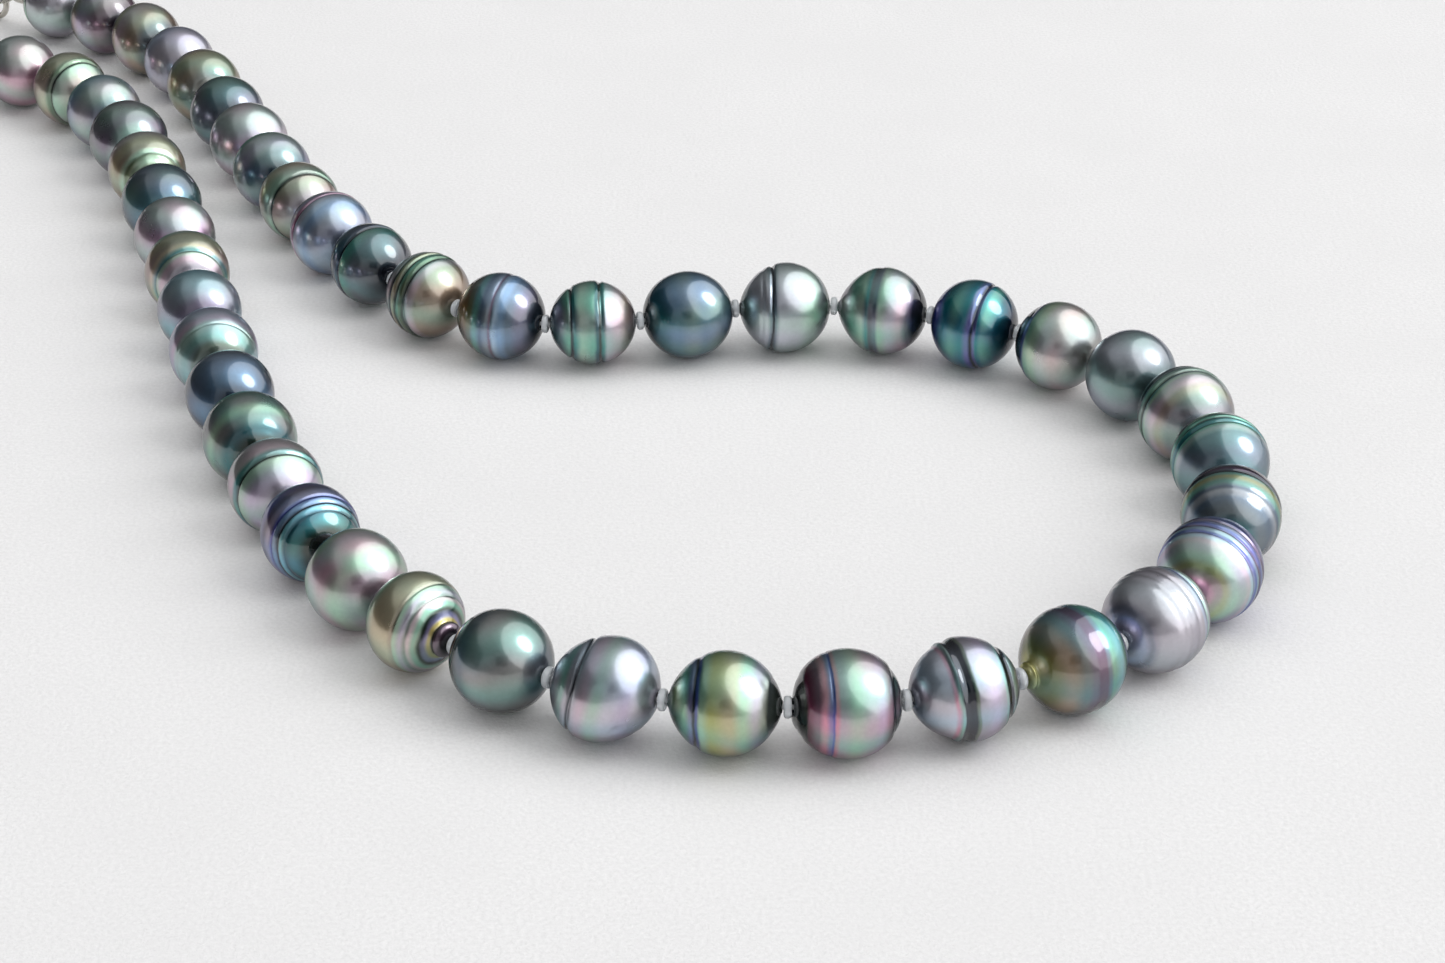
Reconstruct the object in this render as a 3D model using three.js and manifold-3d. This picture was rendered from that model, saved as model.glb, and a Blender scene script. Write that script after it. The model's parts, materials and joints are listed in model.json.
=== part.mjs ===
// A pearl necklace laid out flat: drilled pearls on one thread, soft spacer rings between them, and a lobster clasp.
// Units are millimetres, +Z is up, and the strand rests on the plane z = 0.

import * as THREE from "three";
import { mergeVertices } from "three/addons/utils/BufferGeometryUtils.js";
import Module from "manifold-3d";

const wasm = await Module();
wasm.setup();

// ---- driving dimensions -------------------------------------------------------------------------

const gap = 0.8; // between the ends of two neighbouring pearls
const holeRadius = 0.5; // of the hole drilled through each pearl
const threadRadius = 0.2;
const spacerRadius = 0.8;
const spacerThickness = 0.5;
const metalDepth = 3.0; // thickness of the lobster clasp
const pearlSides = 16; // facets round a pearl
const pearlRings = 8; // facets along a pearl
const wireSides = 8; // facets round a wire
const threadSides = 6;

// The middle of the strand, from the clasp end to the ring end, seen from above.
const route = [
  [-79, 75], [-68, 73], [-58, 65], [-49, 50], [-40, 25], [-32, -2], [-25, -24], [-17, -43.5],
  [-5, -61], [11, -71], [30, -73], [48, -67], [61, -54], [66, -36], [61, -15], [46, -2],
  [27, 2.5], [8, -1.5], [-3, -0.5], [-14, 9], [-24, 25], [-32, 42], [-41, 63], [-50, 80], [-62, 93], [-72, 100],
];

// ---- pearls -------------------------------------------------------------------------------------

// taper above 0 narrows the end nearer the ring, fullness above 0 makes the ends blunter,
// and each circle is a groove right round, at a place from -1 to 1 along the pearl.
function pearl(tone, diameter, length, { taper = 0, fullness = 0, circles = [] } = {}) {
  return { tone, diameter, length, taper, fullness, circles };
}

const pearls = [
  pearl("silver", 8.6, 8.7),
  pearl("silver", 8.7, 8.9),
  pearl("champagne", 8.8, 8.7, { circles: [0.5] }),
  pearl("blue", 8.8, 8.8),
  pearl("aubergine", 9.0, 9.0, { circles: [-0.5] }),
  pearl("champagne", 8.7, 9.3, { circles: [0.3] }),
  pearl("peacock", 8.8, 9.1, { taper: 0.08 }),
  pearl("silver", 8.7, 8.7),
  pearl("champagne", 8.9, 9.3, { circles: [-0.5], taper: 0.05 }),
  pearl("blue", 8.6, 8.6, { fullness: 0.08 }),
  pearl("peacock", 8.8, 9.4, { circles: [0.55] }),
  pearl("aubergine", 8.6, 8.8),
  pearl("peacock", 8.9, 9.3, { circles: [-0.5] }),
  pearl("silver", 8.7, 8.9, { circles: [0.4] }),
  pearl("dark", 8.8, 8.9, { circles: [0.5], taper: 0.05 }),
  pearl("silver", 8.9, 8.8, { circles: [-0.7] }),
  pearl("champagne", 8.7, 8.5, { circles: [0.45], taper: 0.14 }),
  pearl("dark", 8.7, 8.6),
  pearl("silver", 8.9, 9.0, { circles: [-0.45] }),
  pearl("champagne", 8.6, 9.2, { circles: [-0.45], taper: -0.1 }),
  pearl("peacock", 8.9, 8.7, { fullness: 0.08, circles: [-0.3] }),
  pearl("silver", 8.7, 9.0, { circles: [-0.4, 0.6] }),
  pearl("aubergine", 9.1, 9.3, { taper: -0.12 }),
  pearl("silver", 9.0, 9.3, { circles: [0.55] }),
  pearl("blue", 9.2, 9.5, { circles: [0.45] }),
  pearl("dark", 9.0, 9.6, { fullness: 0.05 }),
  pearl("blue", 9.1, 9.2, { circles: [0.6] }),
  pearl("silver", 9.2, 8.8, { circles: [0.6] }),
  pearl("dark", 9.0, 8.6),
  pearl("silver", 8.9, 8.5, { taper: 0.08 }),
  pearl("peacock", 9.1, 8.7, { circles: [-0.3] }),
  pearl("champagne", 9.1, 9.1, { taper: 0.12, circles: [0.1] }),
  pearl("blue", 9.2, 9.2, { circles: [0.35] }),
  pearl("dark", 8.9, 9.1),
  pearl("peacock", 8.7, 8.7, { circles: [-0.15, 0.6] }),
  pearl("aubergine", 8.9, 8.9),
  pearl("dark", 9.1, 9.2, { circles: [0.1, 0.45] }),
  pearl("peacock", 8.8, 9.0, { circles: [0.0] }),
  pearl("blue", 9.0, 8.8, { circles: [0.2] }),
  pearl("champagne", 8.7, 9.3, { circles: [-0.4] }),
  pearl("dark", 8.8, 8.6),
  pearl("silver", 9.0, 8.8, { taper: 0.06 }),
  pearl("peacock", 8.7, 9.2, { circles: [0.5] }),
  pearl("champagne", 8.9, 8.9, { circles: [0.5], fullness: 0.06 }),
  pearl("silver", 8.6, 8.7),
  pearl("champagne", 8.9, 9.1, { circles: [-0.5] }),
  pearl("aubergine", 8.7, 8.8),
  pearl("silver", 8.6, 8.6, { circles: [0.4] }),
];

const circleDepth = 0.06; // of the radius there
const circleWidth = 0.09; // of half the length

// The radius at a latitude from -1, at the clasp end, to 1.
function pearlRadius(shape, latitude) {
  const round = Math.sqrt(Math.max(0, 1 - latitude * latitude));
  let radius = (shape.diameter / 2) * Math.pow(round, 1 - 2 * shape.fullness) * (1 - shape.taper * latitude);
  for (const place of shape.circles) {
    radius *= 1 - circleDepth * Math.exp(-(((latitude - place) / circleWidth) ** 2));
  }
  return radius;
}

function pearlGeometry(shape) {
  const rim = Math.acos((2 * holeRadius) / shape.diameter);
  const mouth = Math.sin(rim) * shape.length / 2;
  let latitudes = [];
  for (let i = 1; i < pearlRings; i++) {
    latitudes.push(Math.sin(rim * (2 * i / pearlRings - 1)));
  }
  for (const place of shape.circles) {
    latitudes = latitudes.filter((latitude) => Math.abs(latitude - place) > 1.7 * circleWidth);
    latitudes.push(place - circleWidth, place, place + circleWidth);
  }
  latitudes.sort((a, b) => a - b);
  const outline = latitudes.map((l) => new THREE.Vector2(pearlRadius(shape, l), l * shape.length / 2));
  const start = new THREE.Vector2(holeRadius, -mouth);
  const end = new THREE.Vector2(holeRadius, mouth);
  return closed(new THREE.LatheGeometry([start, ...outline, end, start.clone()], pearlSides));
}

// ---- solids -------------------------------------------------------------------------------------

// The same surface with only positions and shared corners, which booleans need.
function closed(geometry) {
  const bare = geometry.clone();
  bare.deleteAttribute("normal");
  bare.deleteAttribute("uv");
  return mergeVertices(bare, 1e-4);
}

function solid(geometry) {
  const merged = closed(geometry);
  return new wasm.Manifold(new wasm.Mesh({
    numProp: 3,
    vertProperties: merged.attributes.position.array,
    triVerts: new Uint32Array(merged.index.array),
  }));
}

function geometryOf(manifold) {
  const mesh = manifold.getMesh();
  const geometry = new THREE.BufferGeometry();
  geometry.setAttribute("position", new THREE.BufferAttribute(mesh.vertProperties, 3));
  geometry.setIndex(new THREE.BufferAttribute(mesh.triVerts, 1));
  return geometry;
}

function circleShape(radius, hole = 0) {
  const shape = new THREE.Shape();
  shape.absarc(0, 0, radius, 0, 2 * Math.PI);
  if (hole > 0) {
    const inner = new THREE.Path();
    inner.absarc(0, 0, hole, 0, 2 * Math.PI, true);
    shape.holes.push(inner);
  }
  return shape;
}

// A wire or a tube along a curve.
function wire(curve, radius, steps, { hole = 0, sides = wireSides } = {}) {
  const options = { steps, extrudePath: curve, curveSegments: sides / 2 };
  return new THREE.ExtrudeGeometry(circleShape(radius, hole), options);
}

// A disc or a washer with its axis along Z, resting on z = 0.
function plate(shape, thickness, curveSegments = 8) {
  return new THREE.ExtrudeGeometry(shape, { depth: thickness, bevelEnabled: false, curveSegments });
}

// A round ring lying in the plane of X and Z.
function uprightRing(majorRadius, wireRadius) {
  const ring = new THREE.TorusGeometry(majorRadius, wireRadius, wireSides, 20);
  return ring.rotateX(Math.PI / 2);
}

// A path of straight stretches, sampled exactly at its corners.
class Corners extends THREE.Curve {
  constructor(points) {
    super();
    this.points = points;
  }

  getPointAt(share, target = new THREE.Vector3()) {
    const at = share * (this.points.length - 1);
    const i = Math.min(Math.floor(at), this.points.length - 2);
    return target.lerpVectors(this.points[i], this.points[i + 1], at - i);
  }

  getTangentAt(share, target = new THREE.Vector3()) {
    const at = Math.round(share * (this.points.length - 1));
    const before = this.points[Math.max(at - 1, 0)];
    const after = this.points[Math.min(at + 1, this.points.length - 1)];
    return target.subVectors(after, before).normalize();
  }
}

// ---- the strand ---------------------------------------------------------------------------------

// The middles of the gaps before, between and after the pearls, walked along the route.
function gapMiddles() {
  const curve = new THREE.CatmullRomCurve3(route.map(([x, y]) => new THREE.Vector3(x, y, 0)), false, "centripetal");
  const fine = curve.getSpacedPoints(6000);
  const found = [fine[0].clone()];
  let i = 0;
  for (const shape of pearls) {
    const last = found[found.length - 1];
    while (i < fine.length - 1 && fine[i].distanceTo(last) < shape.length + gap) {
      i += 1;
    }
    if (i === fine.length - 1) {
      throw new Error("the route is too short for its pearls");
    }
    found.push(fine[i].clone());
  }
  found.forEach((point, k) => {
    const before = pearls[Math.max(k - 1, 0)];
    const after = pearls[Math.min(k, pearls.length - 1)];
    point.z = (before.diameter + after.diameter) / 4;
  });
  return found;
}

const middles = gapMiddles();
const strand = new THREE.Group();

function add(name, geometry, material, parent = strand) {
  const mesh = new THREE.Mesh(geometry, material);
  mesh.name = name;
  parent.add(mesh);
  return mesh;
}

function nacre(colour) {
  return new THREE.MeshStandardMaterial({ color: colour, roughness: 0.18, metalness: 0.45 });
}

const tones = {
  silver: nacre(0xb4b4b8),
  champagne: nacre(0xa79f92),
  blue: nacre(0x8794a6),
  peacock: nacre(0x64807a),
  aubergine: nacre(0x6a5d70),
  dark: nacre(0x4a5458),
};
const silicone = new THREE.MeshStandardMaterial({ color: 0xc9c9c9, roughness: 0.35, metalness: 0 });
const whiteGold = new THREE.MeshStandardMaterial({ color: 0xd6d3cc, roughness: 0.2, metalness: 1 });
const steel = new THREE.MeshStandardMaterial({ color: 0x8d9094, roughness: 0.3, metalness: 1 });

pearls.forEach((shape, i) => {
  const number = String(i + 1).padStart(2, "0");
  const mesh = add("pearl_" + number, pearlGeometry(shape), tones[shape.tone]);
  const along = new THREE.Vector3().subVectors(middles[i + 1], middles[i]).normalize();
  mesh.quaternion.setFromUnitVectors(new THREE.Vector3(0, 1, 0), along);
  mesh.position.addVectors(middles[i], middles[i + 1]).multiplyScalar(0.5);
});

// ---- strand ends --------------------------------------------------------------------------------

// Each end is built along +X from the middle of its last gap, with the height measured from the floor.
const crimpRadius = 1.0;
const crimpLength = 2.0;
const crimpStart = 0.55; // from the middle of the last gap
const loopRadius = 1.3; // of the thread's loop
const loopReach = 5.2; // from the middle of the last gap to the loop's centre
const loopHeight = 3.3;
const coilRadius = 0.5; // outer radius of the fine wire coil that guards the loop
const coilHole = 0.32;
const ringRadius = 2.1; // to the middle of the ring's wire
const ringWire = 0.4;
const ringHeight = ringRadius + ringWire + 0.02;

const loopTurn = 0.75 * Math.PI; // the loop's ends, either side of straight outwards
const loopStations = 12;
const loopSteps = 18;
const legSpread = 0.58; // of the loop's two legs from the middle, where they leave the crimp
const knotPlace = 1.9; // of the thread's knot inside the crimp, from the middle of the last gap
const knotRadius = 0.55;

// The loop's corners: out of the crimp on one side, round, and back on the other.
function loopPoints(height) {
  const points = [];
  for (let i = 0; i <= loopStations; i++) {
    const angle = loopTurn * (2 * i / loopStations - 1);
    const across = loopRadius * Math.sin(angle);
    points.push(new THREE.Vector3(loopReach + loopRadius * Math.cos(angle), across, loopHeight));
  }
  const mouth = crimpStart + crimpLength + 0.2;
  const first = new THREE.Vector3(mouth, -legSpread, height);
  const last = new THREE.Vector3(mouth, legSpread, height);
  return [first, ...points, last];
}

function loopCurve(height) {
  return new THREE.CatmullRomCurve3(loopPoints(height), false, "centripetal");
}

// A group whose +X runs outwards along the strand from one of its ends.
function endGroup(end, neighbour) {
  const group = new THREE.Group();
  group.position.set(end.x, end.y, 0);
  group.rotation.z = Math.atan2(end.y - neighbour.y, end.x - neighbour.x);
  strand.add(group);
  return group;
}

const clawEnd = endGroup(middles[0], middles[1]);
const ringEnd = endGroup(middles[middles.length - 1], middles[middles.length - 2]);

function crimpGeometry(height) {
  const profile = [
    new THREE.Vector2(0.75, 0),
    new THREE.Vector2(crimpRadius + 0.15, 0),
    new THREE.Vector2(crimpRadius + 0.15, crimpLength),
    new THREE.Vector2(0.75, crimpLength),
    new THREE.Vector2(0.75, 0),
  ];
  return closed(new THREE.LatheGeometry(profile, 16).rotateZ(-Math.PI / 2).translate(crimpStart, 0, height));
}

function addEnd(group, label, height) {
  add("crimp_tube_" + label, crimpGeometry(height), whiteGold, group);
  add("wire_coil_guard_" + label, wire(loopCurve(height), coilRadius, loopSteps, { hole: coilHole }), whiteGold, group);
  const ringCentre = loopReach + Math.sqrt(ringRadius ** 2 - (loopHeight - ringHeight) ** 2);
  const ring = uprightRing(ringRadius, ringWire).translate(ringCentre, 0, ringHeight);
  add(label === "a" ? "clasp_jump_ring" : "end_ring", ring, whiteGold, group);
  return ringCentre;
}

const heightA = middles[0].z;
const heightB = middles[middles.length - 1].z;
const clawRingCentre = addEnd(clawEnd, "a", heightA);
addEnd(ringEnd, "b", heightB);

// ---- thread and spacers -------------------------------------------------------------------------

function threadGeometry() {
  let whole = solid(wire(new Corners(middles), threadRadius, pearls.length, { sides: threadSides }));
  middles.forEach((middle, i) => {
    const before = middles[Math.max(i - 1, 0)];
    const after = middles[Math.min(i + 1, middles.length - 1)];
    const along = new THREE.Vector3().subVectors(after, before).normalize();
    const turn = new THREE.Quaternion().setFromUnitVectors(new THREE.Vector3(0, 0, 1), along);
    const disc = plate(circleShape(spacerRadius), spacerThickness, 4).translate(0, 0, -spacerThickness / 2);
    disc.applyQuaternion(turn).translate(middle.x, middle.y, middle.z);
    whole = whole.add(solid(disc));
  });
  for (const [group, height] of [[clawEnd, heightA], [ringEnd, heightB]]) {
    group.updateMatrixWorld(true);
    const knot = new THREE.Vector3(knotPlace, 0, height);
    const legs = loopPoints(height);
    const pieces = [
      wire(new THREE.LineCurve3(new THREE.Vector3(0, 0, height), knot), threadRadius, 1, { sides: threadSides }),
      wire(loopCurve(height), threadRadius, loopSteps, { sides: threadSides }),
      new THREE.SphereGeometry(knotRadius, 8, 6).translate(knotPlace, 0, height),
    ];
    for (const leg of [legs[0], legs[legs.length - 1]]) {
      const inside = new THREE.Vector3(knotPlace, leg.y / 2, height);
      pieces.push(wire(new THREE.LineCurve3(inside, leg), threadRadius, 1, { sides: threadSides }));
    }
    for (const piece of pieces) {
      whole = whole.add(solid(piece.applyMatrix4(group.matrixWorld)));
    }
  }
  return geometryOf(whole);
}

add("thread_and_spacers", threadGeometry(), silicone);

// ---- lobster clasp ------------------------------------------------------------------------------

const eyeHeight = 1.6; // where the jump ring's wire crosses the clasp's eye
const eyeRadius = 1.9;
const eyeHole = 1.0;
const eyeThickness = 0.9;
const pivot = [3.7, -1.35]; // of the lever, from the eye's centre
const pinRadius = 0.45;
const slot = 1.2; // in the body, for the lever
const leverThickness = 0.9;
const runningGap = 0.05;
const springPlace = 4.2; // of the spring's axis, which runs along Y
const springLow = -0.68;
const springHigh = 0.85;
const springRadius = 0.3;
const springWire = 0.08;
const springTurns = 4;
const pocketRadius = 0.46;

const claw = new THREE.Group();
claw.position.x = clawRingCentre + Math.sqrt(ringRadius ** 2 - (ringHeight - eyeHeight) ** 2);
clawEnd.add(claw);

// The claw seen from above: an oval ring that is open along one side, with a solid root at the eye.
function clawShape() {
  const shape = new THREE.Shape();
  shape.moveTo(1.5, -1.2);
  shape.lineTo(2.4, -2.7);
  shape.lineTo(5.0, -2.7);
  shape.lineTo(5.0, -0.9);
  shape.quadraticCurveTo(4.6, 1.6, 6.6, 2.1);
  shape.quadraticCurveTo(9.6, 2.5, 10.1, -0.6);
  shape.lineTo(10.2, -1.9);
  shape.lineTo(11.7, -1.9);
  shape.quadraticCurveTo(12.6, 2.6, 9.4, 3.7);
  shape.quadraticCurveTo(5.6, 4.6, 2.8, 2.6);
  shape.lineTo(1.5, 1.2);
  shape.closePath();
  return shape;
}

// A round bar along Z at a place seen from above.
function bar(radius, length, x, y, z) {
  return new THREE.CylinderGeometry(radius, radius, length, 16).rotateX(Math.PI / 2).translate(x, y, z);
}

function clawGeometry() {
  let body = solid(plate(clawShape(), metalDepth, 6));
  const eye = plate(circleShape(eyeRadius), eyeThickness).translate(0, 0, eyeHeight - eyeThickness / 2);
  body = body.add(solid(eye));
  const clearing = new THREE.BoxGeometry(2 * eyeRadius, 2 * eyeRadius, metalDepth);
  const lift = (eyeThickness + metalDepth) / 2;
  const slotLow = -4.1;
  const pocket = new THREE.CylinderGeometry(pocketRadius, pocketRadius, 2 * springHigh + 0.3, 12);
  const cuts = [
    bar(eyeHole, 4 * metalDepth, 0, 0, 0),
    clearing.clone().translate(0.1, 0, eyeHeight - lift),
    clearing.clone().translate(0.1, 0, eyeHeight + lift),
    new THREE.BoxGeometry(4.6, -slotLow, slot).translate(5.2, slotLow / 2, metalDepth / 2),
    bar(pinRadius + runningGap, 4 * metalDepth, pivot[0], pivot[1], 0),
    pocket.translate(springPlace, 0, metalDepth / 2),
  ];
  for (const cut of cuts) {
    body = body.subtract(solid(cut));
  }
  return geometryOf(body);
}

// The lever closes the claw's open side and has a thumb tab outside it.
function leverShape() {
  const shape = new THREE.Shape();
  shape.moveTo(3.0, -1.9);
  shape.lineTo(3.0, -4.0);
  shape.lineTo(4.0, -4.2);
  shape.lineTo(4.6, -2.5);
  shape.quadraticCurveTo(7.4, -2.9, 9.7, -2.3);
  shape.lineTo(9.75, -1.3);
  shape.quadraticCurveTo(7.0, -1.7, 4.9, -0.8);
  shape.lineTo(3.5, -0.75);
  shape.closePath();
  return shape;
}

function leverGeometry() {
  const low = (metalDepth - leverThickness) / 2;
  const lever = solid(plate(leverShape(), leverThickness, 6).translate(0, 0, low));
  const hole = bar(pinRadius + runningGap, 4 * metalDepth, pivot[0], pivot[1], 0);
  return geometryOf(lever.subtract(solid(hole)));
}

class Coil extends THREE.Curve {
  getPoint(share, target = new THREE.Vector3()) {
    const angle = 2 * Math.PI * springTurns * share;
    const along = springLow + springWire + (springHigh - springLow - 2 * springWire) * share;
    return target.set(
      springPlace + springRadius * Math.cos(angle),
      along,
      metalDepth / 2 + springRadius * Math.sin(angle),
    );
  }
}

const pinLength = metalDepth - 0.1;
add("claw_body", clawGeometry(), whiteGold, claw);
add("claw_lever", leverGeometry(), whiteGold, claw);
add("lever_pin", bar(pinRadius, pinLength, pivot[0], pivot[1], metalDepth / 2), whiteGold, claw);
add("lever_spring", wire(new Coil(), springWire, 9 * springTurns, { sides: threadSides }), steel, claw);

// ---- place --------------------------------------------------------------------------------------

// The origin is on the floor, under the middle of the whole strand.
const extent = new THREE.Box3().setFromObject(strand, true);
const centre = extent.getCenter(new THREE.Vector3());
strand.position.set(-centre.x, -centre.y, -extent.min.z);

export default strand;
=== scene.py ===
"""A strand of dark baroque pearls with soft spacer rings and a lobster clasp, open and laid in a loop."""

import json
import math

import bmesh
import bpy
import numpy as np
from mathutils import Matrix, Vector, noise


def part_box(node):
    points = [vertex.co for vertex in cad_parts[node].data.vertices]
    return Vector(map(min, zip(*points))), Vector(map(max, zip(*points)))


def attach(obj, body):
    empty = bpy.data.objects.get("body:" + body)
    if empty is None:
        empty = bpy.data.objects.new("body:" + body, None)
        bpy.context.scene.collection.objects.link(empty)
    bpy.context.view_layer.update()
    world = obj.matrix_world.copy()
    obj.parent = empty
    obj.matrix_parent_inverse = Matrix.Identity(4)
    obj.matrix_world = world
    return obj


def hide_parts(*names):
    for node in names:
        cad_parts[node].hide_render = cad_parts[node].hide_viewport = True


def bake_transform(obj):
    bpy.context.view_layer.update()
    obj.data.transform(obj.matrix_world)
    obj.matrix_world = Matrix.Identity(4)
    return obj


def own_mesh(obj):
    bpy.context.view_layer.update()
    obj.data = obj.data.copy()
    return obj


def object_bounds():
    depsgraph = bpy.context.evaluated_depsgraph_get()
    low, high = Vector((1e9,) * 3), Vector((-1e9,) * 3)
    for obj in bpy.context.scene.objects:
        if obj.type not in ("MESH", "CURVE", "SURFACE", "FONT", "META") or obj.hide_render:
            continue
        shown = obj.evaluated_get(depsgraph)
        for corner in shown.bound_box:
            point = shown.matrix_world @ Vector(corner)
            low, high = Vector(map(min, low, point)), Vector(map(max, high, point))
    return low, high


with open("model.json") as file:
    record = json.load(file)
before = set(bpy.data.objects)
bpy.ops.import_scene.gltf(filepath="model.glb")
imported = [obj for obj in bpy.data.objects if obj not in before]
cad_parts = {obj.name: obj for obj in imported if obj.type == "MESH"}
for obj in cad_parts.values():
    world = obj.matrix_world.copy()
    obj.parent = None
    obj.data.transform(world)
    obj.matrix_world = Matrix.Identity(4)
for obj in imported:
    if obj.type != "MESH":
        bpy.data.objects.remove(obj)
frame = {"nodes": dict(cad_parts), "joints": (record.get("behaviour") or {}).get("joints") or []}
cad_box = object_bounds()

MM = 0.001
low, high = cad_box
centre = (low + high) / 2
half = (high - low) / 2
UP = Vector((0, 0, 1))
scene = bpy.context.scene


# ---- camera, lights and floor ----

LENS = 74.7
ELEVATION = math.radians(28.1)
AIM = (0.41, -0.446)  # where the camera looks on the floor, as shares of the strand's half width and depth
DISTANCE = 1.13  # from there to the camera, as a share of the strand's diagonal
FLOOR_REACH = 2.6  # metres, from the middle to each edge
DOME_RADIUS = 2.4  # metres
WINDOW_WAY = (0.754, -0.05, 0.64)  # from the strand towards the window


def link(thing):
    if thing.name not in scene.collection.objects:
        scene.collection.objects.link(thing)


def add_camera():
    data = bpy.data.cameras.new("camera")
    data.lens = LENS
    data.clip_start = 0.01
    camera = bpy.data.objects.new("camera", data)
    aim = Vector((centre.x + AIM[0] * half.x, centre.y + AIM[1] * half.y, 0))
    back = Vector((0, -math.cos(ELEVATION), math.sin(ELEVATION)))
    camera.location = aim + back * DISTANCE * (high - low).length
    camera.rotation_euler = (math.pi / 2 - ELEVATION, 0, 0)
    link(camera)
    scene.camera = camera


def area_light(name, direction, distance, size, power):
    """A soft oval light that faces the strand from a direction. Lengths are in metres, the power in watts."""
    data = bpy.data.lights.new(name, "AREA")
    data.shape = "ELLIPSE"
    data.size, data.size_y = size
    data.energy = power
    light = bpy.data.objects.new(name, data)
    away = Vector(direction).normalized()
    light.location = centre + away * distance
    light.rotation_euler = away.to_track_quat("Z", "Y").to_euler()
    link(light)
    return light


# How bright the room is: 0 is level behind the camera, 0.5 is overhead and 1 is level beyond the strand.
ROOM = [(0.0, 0.26), (0.1, 0.32), (0.235, 0.38), (0.262, 0.24), (0.38, 0.36), (0.5, 0.5), (0.62, 0.42),
        (0.76, 0.2), (0.9, 0.09), (1.0, 0.07)]


def add_world():
    """A dim grey room: a pale wall behind the camera, a soft ceiling, and a dark far side."""
    world = bpy.data.worlds.new("room")
    scene.world = world
    world.use_nodes = True
    tree = world.node_tree
    where = tree.nodes.new("ShaderNodeTexCoord")
    split = tree.nodes.new("ShaderNodeSeparateXYZ")
    ramp = tree.nodes.new("ShaderNodeValToRGB")
    tree.links.new(where.outputs["Generated"], split.inputs[0])
    towards_camera = math_node(tree, "MULTIPLY", split.outputs["Y"], -1)
    over = math_node(tree, "ARCTAN2", split.outputs["Z"], towards_camera)
    tree.links.new(map_range(tree, over, 0, math.pi, 0, 1), ramp.inputs["Fac"])
    fill_ramp(ramp, [(place, (0.98 * grey, grey, 1.02 * grey)) for place, grey in ROOM])
    sideways = map_range(tree, split.outputs["X"], -1, 1, 0.7, 1.2)
    colour = mix_colour(tree, 1.0, ramp.outputs["Color"], grey_from(tree, sideways), "MULTIPLY")
    tree.links.new(colour, tree.nodes["Background"].inputs["Color"])


def fill_ramp(ramp, stops):
    elements = ramp.color_ramp.elements
    ramp.color_ramp.interpolation = "EASE"
    while len(elements) > 1:
        elements.remove(elements[-1])
    for i, (place, colour) in enumerate(stops):
        element = elements[0] if i == 0 else elements.new(place)
        element.position = place
        element.color = (*colour, 1)


def linear(code):
    """A linear colour from a hexadecimal sRGB code."""
    channels = [int(code[i:i + 2], 16) / 255 for i in (0, 2, 4)]
    return tuple(c / 12.92 if c <= 0.04045 else ((c + 0.055) / 1.055) ** 2.4 for c in channels)


def new_material(name, **sockets):
    material = bpy.data.materials.new(name)
    material.use_nodes = True
    shader = material.node_tree.nodes["Principled BSDF"]
    for socket, value in sockets.items():
        shader.inputs[socket.replace("_", " ")].default_value = value
    return material, material.node_tree, shader


def object_place(tree):
    return tree.nodes.new("ShaderNodeTexCoord").outputs["Object"]


def noise_value(tree, where, scale, detail, roughness=0.5):
    texture = tree.nodes.new("ShaderNodeTexNoise")
    for socket, value in (("Scale", scale), ("Detail", detail), ("Roughness", roughness)):
        texture.inputs[socket].default_value = value
    tree.links.new(where, texture.inputs["Vector"])
    return texture.outputs["Fac"]


def feed(tree, socket, value):
    """Links an output to a socket, or sets the socket to a number or a colour."""
    if isinstance(value, (int, float)):
        socket.default_value = value
    elif isinstance(value, tuple):
        socket.default_value = (*value, 1)
    else:
        tree.links.new(value, socket)


def math_node(tree, operation, *values):
    node = tree.nodes.new("ShaderNodeMath")
    node.operation = operation
    for socket, value in zip(node.inputs, values):
        feed(tree, socket, value)
    return node.outputs[0]


def mix_colour(tree, factor, first, second, blend_type="MIX"):
    node = tree.nodes.new("ShaderNodeMix")
    node.data_type = "RGBA"
    node.blend_type = blend_type
    for i, value in ((0, factor), (6, first), (7, second)):
        feed(tree, node.inputs[i], value)
    return node.outputs[2]


def map_range(tree, value, from_low, from_high, to_low, to_high):
    node = tree.nodes.new("ShaderNodeMapRange")
    tree.links.new(value, node.inputs["Value"])
    limits = {"From Min": from_low, "From Max": from_high, "To Min": to_low, "To Max": to_high}
    for socket, number in limits.items():
        node.inputs[socket].default_value = number
    return node.outputs["Result"]


def grey_from(tree, value):
    node = tree.nodes.new("ShaderNodeCombineColor")
    for i in range(3):
        tree.links.new(value, node.inputs[i])
    return node.outputs[0]


def bump_from(tree, height, distance, strength):
    node = tree.nodes.new("ShaderNodeBump")
    node.inputs["Distance"].default_value = distance
    node.inputs["Strength"].default_value = strength
    tree.links.new(height, node.inputs["Height"])
    return node.outputs["Normal"]


def card(name, half_width, half_height, material):
    """A flat rectangle."""
    mesh = bpy.data.meshes.new(name)
    signs = ((-1, -1), (1, -1), (1, 1), (-1, 1))
    mesh.from_pydata([(x * half_width, y * half_height, 0) for x, y in signs], [], [(0, 1, 2, 3)])
    mesh.materials.append(material)
    thing = bpy.data.objects.new(name, mesh)
    link(thing)
    return thing


def hide_from(thing, *rays):
    for ray in rays:
        setattr(thing, "visible_" + ray, False)


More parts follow.
